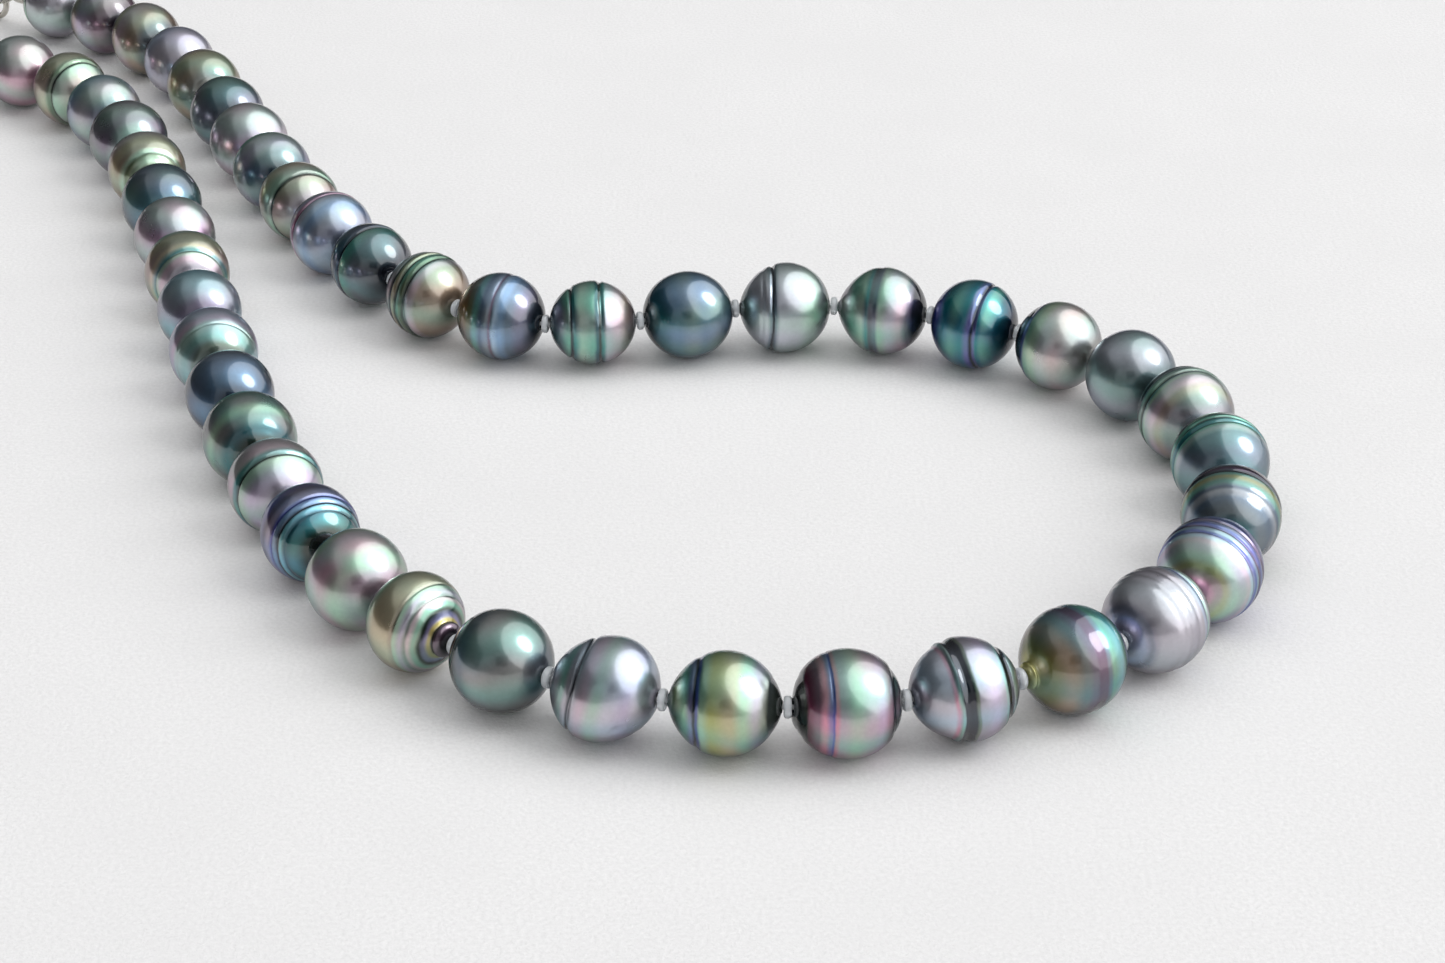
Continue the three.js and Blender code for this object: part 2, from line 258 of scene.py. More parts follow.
def add_floor():
    material, tree, shader = new_material("pale_felt", Roughness=0.9, Specular_IOR_Level=0.15)
    where = object_place(tree)
    fibres = noise_value(tree, where, 2600, 3.0, 0.6)
    clouds = noise_value(tree, where, 60, 2.0)
    colour = mix_colour(tree, map_range(tree, fibres, 0.3, 0.7, 0.0, 1.0), linear("d3d2d2"), linear("dfdede"))
    colour = mix_colour(tree, map_range(tree, clouds, 0.3, 0.7, 0.0, 0.35), colour, linear("d3d2d2"))
    tree.links.new(colour, shader.inputs["Base Color"])
    tree.links.new(bump_from(tree, fibres, 0.00015, 0.5), shader.inputs["Normal"])
    card("floor", FLOOR_REACH, FLOOR_REACH, material)


def add_backdrop():
    """A plain pale dome that only the camera sees, so that the floor meets a plain wall from every side."""
    mesh = bpy.data.meshes.new("backdrop")
    work = bmesh.new()
    bmesh.ops.create_uvsphere(work, u_segments=64, v_segments=32, radius=DOME_RADIUS)
    work.to_mesh(mesh)
    work.free()
    material, tree, shader = new_material(
        "pale_wall", Roughness=1.0, Base_Color=(0, 0, 0, 1), Emission_Strength=1.0, Specular_IOR_Level=0.0)
    clouds = noise_value(tree, object_place(tree), 0.6, 1.0)
    colour = mix_colour(tree, clouds, linear("e4e4e5"), linear("ebebec"))
    tree.links.new(colour, shader.inputs["Emission Color"])
    mesh.materials.append(material)
    dome = bpy.data.objects.new("backdrop", mesh)
    link(dome)
    hide_from(dome, "diffuse", "glossy", "transmission", "shadow")


def add_flag(name, place, size, facing):
    """A black card that only reflections see, for the dark things that stand round a strand on a table."""
    material = new_material(name, Roughness=1.0, Base_Color=(0.01, 0.01, 0.012, 1), Specular_IOR_Level=0.0)[0]
    flag = card(name, size[0] / 2, size[1] / 2, material)
    flag.location = place
    flag.rotation_euler = Vector(facing).to_track_quat("Z", "Y").to_euler()
    hide_from(flag, "camera", "diffuse", "shadow", "transmission")


add_camera()
add_world()
window = area_light("window", WINDOW_WAY, 2.6, (1.4, 1.62), 34.0)
glow = area_light("window_glow", WINDOW_WAY, 2.59, (6.2, 6.2), 148.0)
shade = area_light("window_shade", WINDOW_WAY, 2.58, (2.2, 2.2), 40.0)
ceiling = area_light("ceiling", (-0.1, 0.3, 1.0), 2.6, (4.3, 4.3), 54.0)
fill = area_light("fill", (-0.1, -1.0, 0.5), 2.6, (3.0, 3.0), 26.0)
for light in (window, glow):  # these two make the highlight on each pearl
    hide_from(light, "diffuse")
for light in (shade, ceiling, fill):  # and these the light and shade on the floor
    hide_from(light, "glossy")
add_floor()
add_backdrop()
add_flag("side_flag", (-0.17, -0.04, 0.1), (0.44, 0.22), (1, 0, 0))
add_flag("camera_flag", tuple(scene.camera.location * 1.04), (0.12, 0.1), tuple(-scene.camera.location))
scene.view_settings.view_transform = "Standard"


# ---- the strand's line ----

GAP = 0.8 * MM  # between the ends of two neighbouring pearls


def matrix_from(x, y, z, origin):
    """The matrix of a set of axes."""
    columns = [(*axis, 0) for axis in (x, y, z)] + [(*origin, 1)]
    return Matrix(columns).transposed()


def axis_matrix(origin, along):
    """Axes with z along a line and x upwards."""
    up = (UP - along * along.dot(UP)).normalized()
    return matrix_from(up, along.cross(up), along, origin)


class Place:
    """Where one pearl sits: its centre, its size and its axes."""

    def __init__(self, name, start, end):
        self.name = name
        self.along = (end - start).normalized()
        self.length = (end - start).length - GAP
        centre = (start + end) / 2
        self.matrix = axis_matrix(centre, self.along)
        vertices = frame["nodes"][name].data.vertices
        self.radius = max((v.co - centre).cross(self.along).length for v in vertices)


def joint_point(name):
    return Vector(next(j["pos_m"] for j in frame["joints"] if j["name"] == name))


pearl_names = sorted(n for n in frame["nodes"] if n.startswith("pearl_"))
gap_joints = ["clasp_end_swing"]
for before, after in zip(pearl_names, pearl_names[1:]):
    gap_joints.append("flex_" + before[-2:] + "_" + after[-2:])
gap_joints.append("ring_end_swing")
gaps = [joint_point(name) for name in gap_joints]
places = [Place(name, gaps[i], gaps[i + 1]) for i, name in enumerate(pearl_names)]


def finish_piece(piece, body, nodes):
    """Links a made piece, hides the CAD nodes that it stands for, and ties it to its body if it has one."""
    link(piece)
    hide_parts(*nodes)
    if body:
        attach(piece, body)


def circle(x, y, radius, count=40):
    angles = [2 * math.pi * i / count for i in range(count)]
    return [(x + radius * math.cos(angle), y + radius * math.sin(angle)) for angle in angles]


def ring_faces(rings, around, closed=True):
    """The faces between neighbouring rings of vertices. In a closed row the last ring joins the first."""
    faces = []
    for k in range(rings if closed else rings - 1):
        a, b = k * around, (k + 1) % rings * around
        for i in range(around):
            j = (i + 1) % around
            faces.append((a + i, a + j, b + j, b + i))
    return faces


def cap_faces(rings, around):
    """The flat ends of an open row of rings."""
    return [tuple(reversed(range(around))), tuple(range((rings - 1) * around, rings * around))]


def mesh_object(name, vertices, faces, material, matrix=None):
    mesh = bpy.data.meshes.new(name)
    mesh.from_pydata([tuple(v) for v in vertices], [], faces)
    mesh.validate()
    mesh.materials.append(material)
    mesh.polygons.foreach_set("use_smooth", [True] * len(mesh.polygons))
    piece = bpy.data.objects.new(name, mesh)
    if matrix is not None:
        piece.matrix_world = matrix
    return piece


# ---- nacre ----

NACRE = {
    "silver": "c3c5cb", "rose": "c8bbc2", "lilac": "b0abbb", "champagne": "bfb6a6", "taupe": "9d9289",
    "mint": "b0c5b8", "lime": "a9ab88", "sage": "84a89c", "teal": "4a7679", "petrol": "2a525a",
    "cyan": "9fcad0", "ice": "bccbd8", "blue": "8c9fb5", "storm": "5c6c7a", "indigo": "4d5388",
    "violet": "77769a", "dusk": "67636f", "plum": "70606a", "aubergine": "524454", "wine": "5c3846",
    "pink": "c096a2", "gold": "a0955f", "bronze": "78654c", "olive": "73745a", "moss": "546252",
    "pine": "212c28", "ink": "171d24", "lead": "4e545a", "slate": "626c77", "smoke": "747a7d",
    "grey": "90959a", "ash": "aeb1b5",
}
DEPTH = 0.96  # how much light the nacre gives back, as a share of the colours above
RIM_DEPTH = 0.5  # the same for the colour that a pearl's edges turn to
SATURATION = 1.75  # how far the nacre is from grey, as a share of the colours above


def nacre_colour(name, depth=DEPTH):
    red, green, blue = linear(NACRE[name])
    grey = 0.3 * red + 0.55 * green + 0.15 * blue
    stronger = [depth * (grey + SATURATION * (c - grey)) for c in (red, green, blue)]
    return tuple(min(max(c, 0.004), 0.95) for c in stronger)


def wave(tree, value, peak, most):
    """A wave from 0 to a most, which it reaches at a peak and at each whole step from there."""
    turned = math_node(tree, "MULTIPLY", math_node(tree, "SUBTRACT", value, peak), 2 * math.pi)
    return map_range(tree, math_node(tree, "COSINE", turned), -1, 1, 0.0, most)


def nacre_material(name, look, seed, radius):
    """Nacre: bands of colour along the strand, a painted iridescent sheen in layers by height, and a soft
    deep gloss.
    """
    material, tree, shader = new_material(
        name, Metallic=look.get("metallic", 0.88), Specular_Tint=(*nacre_colour(look["rim"], RIM_DEPTH), 1),
        Coat_Weight=0.9, Coat_Roughness=0.08, Coat_IOR=1.75)
    where = object_place(tree)
    split = tree.nodes.new("ShaderNodeSeparateXYZ")
    tree.links.new(where, split.inputs[0])
    shift = tree.nodes.new("ShaderNodeVectorMath")
    shift.operation = "ADD"
    shift.inputs[1].default_value = (seed * 0.037, seed * 0.021, seed * 0.013)
    tree.links.new(where, shift.inputs[0])
    where = shift.outputs[0]
    along = tree.nodes.new("ShaderNodeAttribute")
    along.attribute_name = "along"
    slow = noise_value(tree, where, 180, 2.0)
    fine = noise_value(tree, where, 900, 2.0)
    place = math_node(tree, "ADD", along.outputs["Fac"], map_range(tree, slow, 0, 1, -0.07, 0.07))
    place = math_node(tree, "ADD", place, map_range(tree, fine, 0, 1, -0.015, 0.015))
    ramp = tree.nodes.new("ShaderNodeValToRGB")
    tree.links.new(map_range(tree, place, -1, 1, 0, 1), ramp.inputs["Fac"])
    fill_ramp(ramp, [((t + 1) / 2, nacre_colour(c)) for t, c in look["bands"]])
    # Painted iridescent sheen: two tints laid over the top and the sides by height, in place of the play of
    # colour that shifts with the angle of view and light. They are weaker on dark bands.
    cloud = noise_value(tree, where, 140, 1.0, 0.4)
    height = math_node(tree, "ADD", math_node(tree, "DIVIDE", split.outputs["X"], radius),
                       map_range(tree, cloud, 0.3, 0.7, -0.22, 0.22))
    brightness = tree.nodes.new("ShaderNodeRGBToBW")
    tree.links.new(ramp.outputs["Color"], brightness.inputs[0])
    strength = map_range(tree, brightness.outputs[0], 0.02, 0.22, 0.12, 1.0)
    colour = ramp.outputs["Color"]
    for sheen_tint, peak, most in ((look["sheen_tint"], 0.85, 0.44), (look["second"], 0.25, 0.34)):
        factor = math_node(tree, "MULTIPLY", wave(tree, height, peak, most), strength)
        colour = mix_colour(tree, factor, colour, nacre_colour(sheen_tint))
    grain = map_range(tree, noise_value(tree, where, 2400, 3.0, 0.6), 0.25, 0.75, 0.94, 1.05)
    colour = mix_colour(tree, 1.0, colour, grey_from(tree, grain), "MULTIPLY")
    tree.links.new(colour, shader.inputs["Base Color"])
    rough = map_range(tree, noise_value(tree, where, 320, 3.0, 0.6), 0.3, 0.7, 0.27, 0.35)
    tree.links.new(rough, shader.inputs["Roughness"])
    dents = noise_value(tree, where, 700, 2.0)
    tree.links.new(bump_from(tree, dents, 0.00003, 0.5), shader.inputs["Normal"])
    return material


def look(bands, rim="plum", sheen_tint="mint", second="rose", **shape):
    """A pearl's look: places along it (from -100, at the clasp's side, to 100) with their colours, the colour
    that its edges turn to, the painted sheen tints over its top and its sides, and its shape."""
    words = bands.split()
    pairs = [(int(place) / 100, colour) for place, colour in zip(words[::2], words[1::2])]
    return dict(bands=pairs, rim=rim, sheen_tint=sheen_tint, second=second, **shape)


# A shape has grooves (place, width, depth), ledges (place, width, drop) and pits (place, angle, size
# and depth in mm), with places from -1 to 1. Points are how sharp its two ends are, tilt (amount,
# angle) leans its circles, and knobs (share of the length, share of the radius) stand at its ends.
LOOKS = [
    look("-100 plum -70 lilac -20 silver 50 silver 85 mint 100 grey"),
    look("-100 aubergine -72 lilac -45 mint -25 silver 50 rose 100 plum", second="pink"),
    look("-100 grey -50 champagne 20 champagne 38 moss 46 pine 55 mint 100 taupe",
         grooves=[(0.44, 0.05, 0.05)]),
    look("-100 pine -75 storm -60 sage -50 slate -35 cyan -10 blue 50 ash 85 slate 100 ink",
         grooves=[(-0.62, 0.05, 0.02)], ledges=[(0.86, 0.04, 0.05)]),
    look("-100 pine -62 slate -50 ink -40 dusk 20 smoke 60 dusk 100 sage", grooves=[(-0.5, 0.05, 0.05)]),
    look("-100 plum -75 lilac -50 rose -42 sage -30 mint -15 rose 30 champagne 50 taupe 62 mint 70 moss "
         "82 mint 90 moss 100 grey", second="champagne", grooves=[(0.62, 0.05, 0.035), (0.78, 0.04, 0.03)]),
    look("-100 ink -60 storm -20 slate 30 smoke 80 storm 100 ink", "dusk", "slate", "sage"),
    look("-100 grey -60 silver 40 silver 80 lilac 100 aubergine", second="pink"),
    look("-100 moss -75 mint -62 sage -54 violet -44 indigo -36 sage -20 mint 0 champagne 30 taupe "
         "42 champagne 52 teal 60 mint 70 rose 86 grey 93 lead 100 ink",
         grooves=[(-0.48, 0.06, 0.02), (0.54, 0.05, 0.045)], ledges=[(0.84, 0.05, 0.06)]),
    look("-100 slate -50 blue 20 ash 60 grey 85 dusk 100 slate", sheen_tint="cyan", second="lilac"),
    look("-100 ink -85 petrol -66 teal -48 violet -30 lilac 0 ash 25 rose 42 mint 65 sage 80 moss 92 pine "
         "100 grey", "violet", "ice", "lilac", grooves=[(0.42, 0.03, 0.012)], ledges=[(0.85, 0.04, 0.05)]),
    look("-100 pine -50 dusk 0 smoke 40 slate 70 storm 100 ink", sheen_tint="blue", second="dusk"),
    look("-100 moss -72 slate -58 violet -48 ice -38 sage -15 smoke 10 grey 35 mint 55 smoke 76 petrol "
         "90 pine 100 ink", "dusk", "sage", "taupe", grooves=[(-0.62, 0.04, 0.015), (-0.36, 0.04, 0.02)],
         ledges=[(0.76, 0.06, 0.05)]),
    look("-100 lilac -40 silver 15 rose 28 teal 36 pine 44 mint 70 lilac 100 grey",
         grooves=[(0.35, 0.045, 0.045)]),
    look("-100 ink -70 slate -45 blue -25 violet 0 dusk 18 lilac 30 indigo 38 blue 46 ink 53 cyan 60 petrol "
         "75 teal 90 pine 100 ink", "violet", "blue", "bronze",
         grooves=[(0.28, 0.035, 0.02), (0.45, 0.035, 0.025), (0.6, 0.035, 0.025)],
         pits=[(0.05, 100, 0.4, 0.12)]),
    look("-100 ink -82 aubergine -66 indigo -58 slate -50 violet -44 ink -36 pine -28 mint 0 silver 30 rose "
         "60 mint 85 grey 100 lead", "sage", second="pink", ledges=[(-0.42, 0.03, 0.05), (-0.6, 0.03, 0.05)]),
    look("-100 grey -60 mint -20 champagne 14 champagne 22 taupe 29 mint 40 lilac 46 smoke 52 rose 60 sage "
         "67 pine 71 violet 75 gold 79 ink 90 aubergine 100 ink", "dusk", second="champagne",
         grooves=[(0.24, 0.03, 0.012), (0.46, 0.035, 0.03), (0.7, 0.04, 0.06)], end_knob=(0.16, 0.36)),
    # pearl_18: the ink over its clasp-side end is a painted dark reflection, of a dark box beside the strand.
    look("-100 ink -70 ink -56 lead -30 slate 0 grey 40 smoke 75 smoke 100 slate", "petrol", "sage", "taupe"),
    look("-100 smoke -80 grey -62 sage -52 ash -43 ink -38 ash -20 rose 5 mint 30 silver 60 lilac 80 silver "
         "100 grey", "slate", "ice", "rose", grooves=[(-0.43, 0.045, 0.045)], pits=[(0.5, 110, 0.45, 0.14)],
         tilt=(0.2, 20)),
    look("-100 smoke -84 moss -66 sage -54 violet -47 ink -41 indigo -34 mint -15 lime 20 champagne 42 mint "
         "62 lilac 76 grey 82 lead 100 pine", "violet", "sage", "lime", grooves=[(-0.45, 0.06, 0.03)],
         ledges=[(0.8, 0.03, 0.03)], pits=[(0.7, 20, 0.4, 0.1)], points=(0.1, 0.07)),
    look("-100 ink -90 ink -84 pine -78 wine -62 plum -50 pink -40 violet -35 indigo -31 pink -22 ash "
         "5 mint 35 ash 55 lilac 72 plum 80 ink 88 smoke 100 ink", "plum", "sage", "pink",
         grooves=[(-0.36, 0.03, 0.012)], ledges=[(0.78, 0.03, 0.06), (-0.84, 0.03, 0.04)],
         pits=[(-0.84, 200, 1.1, -0.35)], points=(-0.08, -0.08)),
    look("-100 slate -85 grey -65 ash -48 silver -41 pink -35 sage -30 ink -12 ink -6 moss 0 grey 30 lilac "
         "50 grey 56 sage 61 ink 72 ink 77 mint 88 grey 100 slate", sheen_tint="ice", second="rose",
         grooves=[(-0.2, 0.09, 0.05), (0.66, 0.06, 0.05)], ledges=[(-0.36, 0.06, 0.06)], tilt=(0.06, 200)),
    look("-100 lime -88 lime -74 olive -52 taupe -30 smoke -16 dusk -6 aubergine 6 aubergine 14 slate "
         "24 sage 48 cyan 62 sage 78 violet 90 dusk 100 ink", "dusk", "teal", "bronze",
         start_knob=(0.09, 0.26), grooves=[(0.06, 0.1, 0.012)], points=(0.04, 0), metallic=0.82),
    look("-100 storm -92 blue -82 slate -68 ash -35 ash 0 grey 16 ash 24 ice 31 blue 36 indigo 42 sage "
         "50 ash 72 storm 88 grey 100 ink", sheen_tint="ash", second="rose",
         grooves=[(-0.34, 0.06, 0.012), (-0.16, 0.05, 0.012), (0.04, 0.05, 0.01), (0.37, 0.05, 0.04)]),
    look("-100 wine -96 pink -90 taupe -84 lime -72 mint -58 ash -46 rose -38 ice -31 violet -26 indigo "
         "-18 blue -10 aubergine -2 indigo 6 violet 14 aubergine 30 indigo 55 indigo 80 aubergine 100 ink",
         "indigo", second="lilac", grooves=[(-0.29, 0.035, 0.02), (-0.1, 0.035, 0.03), (0.12, 0.035, 0.03)],
         ledges=[(-0.88, 0.05, 0.04)]),
    look("-100 teal -80 smoke -62 slate -50 ash -40 slate -30 sage -16 lime -6 sage 0 lead 6 ink "
         "14 aubergine 40 dusk 70 plum 100 ink", "plum", "smoke", "slate",
         grooves=[(-0.58, 0.05, 0.012), (-0.42, 0.05, 0.012), (0.02, 0.05, 0.03)]),
    look("-100 teal -70 slate -40 slate -25 ash -16 sage -8 petrol 0 teal 8 ink 16 sage 30 petrol 54 ink "
         "64 teal 100 ink", "teal", "sage", "ash", grooves=[(-0.1, 0.04, 0.03), (0.08, 0.04, 0.035)]),
    look("-100 grey -70 smoke -50 taupe -35 rose -20 ash -12 mint -4 teal 3 pine 12 sage 24 petrol 34 ink "
         "50 teal 100 ink", "teal", "mint", "rose", grooves=[(0.02, 0.04, 0.035), (0.32, 0.045, 0.04)]),
    look("-100 lead -60 smoke -10 grey 20 grey 50 smoke 80 dusk 100 lead", "violet", "silver", "sage"),
    look("-100 grey -70 ash -40 rose -10 silver 14 mint 30 sage 42 indigo 55 ink 100 ink", "dusk",
         second="champagne", ledges=[(0.46, 0.06, 0.025)]),
    look("-100 ink -75 petrol -50 sage -40 teal -33 violet -27 ink -20 violet -5 teal 20 sage 45 teal "
         "70 indigo 100 ink", "indigo", "teal", "indigo", grooves=[(-0.29, 0.05, 0.045)]),
    look("-100 ink -78 ink -66 dusk -52 rose -32 silver -10 mint 0 slate 12 lead 20 teal 32 mint 55 sage "
         "75 ash 88 smoke 100 ash", sheen_tint="sage", second="rose", grooves=[(0.09, 0.1, 0.02)],
         points=(0, 0.2), pits=[(0.8, 80, 0.35, 0.1)]),
    look("-100 moss -85 smoke -60 mint -20 ash 12 silver 24 slate 29 ink 34 slate 44 silver 70 ash 85 smoke "
         "100 lead", "dusk", "silver", "mint", grooves=[(0.29, 0.045, 0.05), (0.5, 0.04, 0.012)],
         points=(0, 0.1), tilt=(-0.04, 60)),
    look("-100 ink -80 slate -50 smoke -15 slate 10 smoke 45 storm 75 petrol 100 ink", "petrol", "blue",
         "sage"),
    look("-100 lead -80 taupe -55 rose -32 silver -22 teal -15 pine -8 petrol 2 sage 28 mint 44 teal 51 ink "
         "58 sage 75 slate 100 petrol", sheen_tint="sage", second="rose",
         grooves=[(-0.17, 0.05, 0.045), (0.51, 0.045, 0.045)]),
    look("-100 ink -72 dusk -50 slate -34 blue -20 ice -12 plum -5 grey 10 slate 26 sage 40 olive 56 bronze "
         "85 bronze 100 ink", "dusk", "blue", "smoke", grooves=[(-0.13, 0.06, 0.015)]),
    look("-100 taupe -60 taupe -45 rose -36 ash -30 pine -23 moss -14 sage -6 pine 2 champagne 10 moss "
         "16 ink 26 rose 45 plum 65 ink 100 ink", "dusk", "sage", "taupe",
         grooves=[(-0.3, 0.045, 0.04), (-0.07, 0.045, 0.045), (0.15, 0.04, 0.035)], end_knob=(0.14, 0.34)),
    look("-100 ink -50 smoke -16 sage -4 ink 6 slate 50 smoke 100 ink", "dusk", "teal", "plum",
         grooves=[(-0.05, 0.05, 0.05)]),
    look("-100 slate -70 grey -42 blue -28 ice -14 silver -6 ash 2 wine 8 pink 20 lilac 45 slate "
         "60 aubergine 80 ink 100 ink", "plum", "ice", "lilac", grooves=[(0.02, 0.035, 0.03)]),
    look("-100 grey -50 taupe -40 pine -32 mint 10 champagne 60 ash 100 grey", grooves=[(-0.4, 0.05, 0.04)]),
    look("-100 ink -70 slate -35 lilac -5 silver 20 sage 50 slate 75 bronze 100 aubergine", "dusk", "mint",
         "slate", pits=[(0.6, 60, 0.35, 0.1)]),
    look("-100 lilac -50 silver 30 silver 70 mint 100 lead", second="pink"),
    look("-100 ink -60 slate 0 smoke 30 slate 40 ink 48 violet 100 ink", "dusk", "sage",
         grooves=[(0.4, 0.05, 0.05)]),
    look("-100 pine -80 smoke -50 taupe -10 champagne 16 rose 30 mint 42 moss 50 plum 60 wine 80 wine "
         "100 ink", "moss", "sage", "champagne", ledges=[(-0.82, 0.04, 0.05)], grooves=[(0.42, 0.05, 0.015)]),
    look("-100 grey -40 silver 20 ice 70 silver 100 slate", sheen_tint="lilac"),
    look("-100 ink -80 lead -50 taupe 0 rose 25 champagne 36 taupe 42 plum 50 sage 64 mint 85 plum 100 ink",
         second="taupe", grooves=[(0.4, 0.035, 0.02)], tilt=(0.1, 57), pits=[(0.0, 60, 0.35, 0.1)]),
    look("-100 ink -60 plum -10 lilac 30 taupe 60 sage 100 pine"),
    look("-100 grey -30 silver 32 silver 40 lead 48 mint 100 plum", grooves=[(0.4, 0.045, 0.04)]),
]


# ---- pearls ----

AROUND = 80  # vertices in each ring
ALONG = 60  # rings along a plain pearl
HOLE = 0.5 * MM  # the radius of the drill hole at its mouth
BORE = 0.92  # its radius further in, as a share of that
# The surface's slow waves, its quick ones and its inset, as shares of the radius:
LUMP, RIPPLE, INSET = 0.012, 0.0025, 0.008


def soft_step(x):
    return 1 / (1 + math.exp(-max(-40.0, min(40.0, 4 * x))))


def outline_radius(t, shape):
    """The radius at a place along the pearl, as a share of its largest."""
    start, start_width = shape.get("start_knob", (0, 0))
    end, end_width = shape.get("end_knob", (0, 0))
    body_low, body_high = -1 + start * 1.2, 1 - end * 1.2
    middle, reach = (body_low + body_high) / 2, (body_high - body_low) / 2
    inside = max(0.0, 1 - ((t - middle) / reach) ** 2)
    radius = inside ** (0.5 + shape.get("points", (0, 0))[t > middle])
    for place, share, width in ((-1 + start, start, start_width), (1 - end, end, end_width)):
        if share > 0:
            knob = width * math.sqrt(max(0.0, 1 - ((t - place) / (share * 1.02)) ** 2))
            radius = (radius ** 6 + knob ** 6) ** (1 / 6)
    for place, width, depth in shape.get("grooves", []):
        radius *= 1 - depth * math.exp(-(((t - place) / width) ** 2))
    for place, width, drop in shape.get("ledges", []):
        radius *= 1 - drop * soft_step((t - place) * math.copysign(1, place) / width)
    return radius


def ring_places(shape, mouth):
    """Places along the pearl, closer together where it has a groove, a ledge or a knob."""
    angles = np.linspace(-1, 1, ALONG + 1) * math.asin(mouth)
    found = [math.sin(a) for a in angles]
    for place, width, _ in shape.get("grooves", []) + shape.get("ledges", []):
        found += [place + width * k / 3 for k in range(-6, 7)]
    for key, side in (("start_knob", -1), ("end_knob", 1)):
        if key in shape:
            share = shape[key][0]
            found += [side * (1 - share * (0.1 + 0.15 * k)) for k in range(12)]
    found = sorted(t for t in found if abs(t) < mouth)
    kept = [-mouth]
    for t in found:
        if t - kept[-1] > 0.006:
            kept.append(t)
    if mouth - kept[-1] < 0.004:
        kept.pop()
    return kept + [mouth]


def pearl_piece(place, shape, seed):
    """A drilled pearl as a closed surface of revolution, with lumps, pits and leaning circles."""
    mouth = math.sqrt(1 - (HOLE / place.radius) ** 2)
    stations = ring_places(shape, mouth)
    half_length = place.length / 2
    largest = max(outline_radius(t, shape) for t in stations)
    tilt, tilt_angle = shape.get("tilt", (0.0, 0))
    vertices, along = [], []
    for t in stations:
        radius = max(HOLE * 1.05, place.radius * outline_radius(t, shape) / largest)
        for i in range(AROUND):
            angle = 2 * math.pi * i / AROUND
            round_share = math.sqrt(max(0.0, 1 - t * t))
            way = Vector((math.cos(angle), math.sin(angle), t))
            lump = LUMP * noise.noise(way * 1.1 + Vector((seed, 0, 0))) * round_share
            ripple = RIPPLE * noise.noise(way * 4.0 + Vector((0, seed, 0))) * round_share
            dent = 0.0
            for at, degrees, size, depth in shape.get("pits", []):
                turned = math.remainder(angle - math.radians(degrees), 2 * math.pi)
                across = place.radius * round_share * turned
                gone = ((t - at) * half_length) ** 2 + across ** 2
                dent += depth * MM * math.exp(-gone / (size * MM) ** 2 * 2)
            r = radius * (1 - INSET + lump + ripple) - dent * round_share
            lean = tilt * math.cos(angle - math.radians(tilt_angle)) * (1 - t * t)
            z = half_length * (t + lean) - dent * t
            vertices.append((r * math.cos(angle), r * math.sin(angle), z))
            along.append(t)
    inner = [0.96 * mouth, 0.7, 0.0, -0.7, -0.96 * mouth]
    for t in inner:
        vertices += [(x, y, half_length * t) for x, y in circle(0, 0, HOLE * BORE, AROUND)]
        along += [math.copysign(1, t)] * AROUND
    faces = ring_faces(len(stations) + len(inner), AROUND)
    material = nacre_material("nacre_" + place.name[-2:], shape, seed, place.radius)
    piece = mesh_object("nacre_" + place.name, vertices, faces, material, place.matrix)
    attribute = piece.data.attributes.new("along", "FLOAT", "POINT")
    attribute.data.foreach_set("value", np.array(along, np.float32))
    finish_piece(piece, place.name, [place.name])


for seed, (place, shape) in enumerate(zip(places, LOOKS)):
    pearl_piece(place, shape, seed + 1)


# ---- spacers and thread ----

SPACER_HOLE, SPACER_RADIUS, SPACER_THICKNESS, SPACER_EDGE = 0.3 * MM, 0.92 * MM, 0.66 * MM, 0.26 * MM
THREAD_RADIUS = 0.2 * MM
THREAD_REACH = 1.6 * MM  # how far the thread in a gap runs to both sides, into the pearls


def clear_material(name, roughness, transmission, ior, grain, dark, light):
    material, tree, shader = new_material(
        name, Roughness=roughness, Transmission_Weight=transmission, IOR=ior)
    cloud = noise_value(tree, object_place(tree), grain, 2.0)
    tree.links.new(mix_colour(tree, cloud, linear(dark), linear(light)), shader.inputs["Base Color"])
    return material


def revolve(profile, around, closed=True):
    """Vertices and faces of a surface of revolution about z. The profile is a list of (radius, z)."""
    vertices = [(x, y, z) for radius, z in profile for x, y in circle(0, 0, radius, around)]
    return vertices, ring_faces(len(profile), around, closed)


def rounded_ring(inner, outer, thickness, corner, steps=5):
    """A profile, for revolve, of a washer with rounded outer and inner edges. It goes round anticlockwise."""
    profile = []
    corners = [(outer - corner, -thickness / 2 + corner, -90), (outer - corner, thickness / 2 - corner, 0),
               (inner + corner, thickness / 2 - corner, 90), (inner + corner, -thickness / 2 + corner, 180)]
    for x, z, first in corners:
        for k in range(steps):
            angle = math.radians(first + 90 * k / (steps - 1))
            profile.append((x + corner * math.cos(angle), z + corner * math.sin(angle)))
    return profile


silicone = clear_material("clear_silicone", 0.28, 0.55, 1.41, 900, "d4d9dd", "eceef0")
thread = clear_material("clear_thread", 0.35, 0.3, 1.5, 3000, "b4b8bc", "d8dadc")


def add_gap(i):
    """The spacer ring and the short length of thread in gap i, set along the mean of the directions of the
    pearls beside it.
    """
    point = gaps[i]
    along = (places[max(i - 1, 0)].along + places[min(i, len(places) - 1)].along).normalized()
    spacer = revolve(rounded_ring(SPACER_HOLE, SPACER_RADIUS, SPACER_THICKNESS, SPACER_EDGE), 40)
    rings, around = 13, 10
    profile = [(THREAD_RADIUS, z) for z in np.linspace(-THREAD_REACH, THREAD_REACH, rings)]
    vertices, faces = revolve(profile, around, closed=False)
    strand = (vertices, faces + cap_faces(rings, around))
    for kind, shape, material in (("spacer", spacer, silicone), ("thread", strand, thread)):
        piece = mesh_object("%s_%02d" % (kind, i), *shape, material, axis_matrix(point, along))
        finish_piece(piece, None, ["thread_and_spacers"])
        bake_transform(piece)


for i in range(len(gaps)):
    add_gap(i)


# ---- metal and thread shapes ----

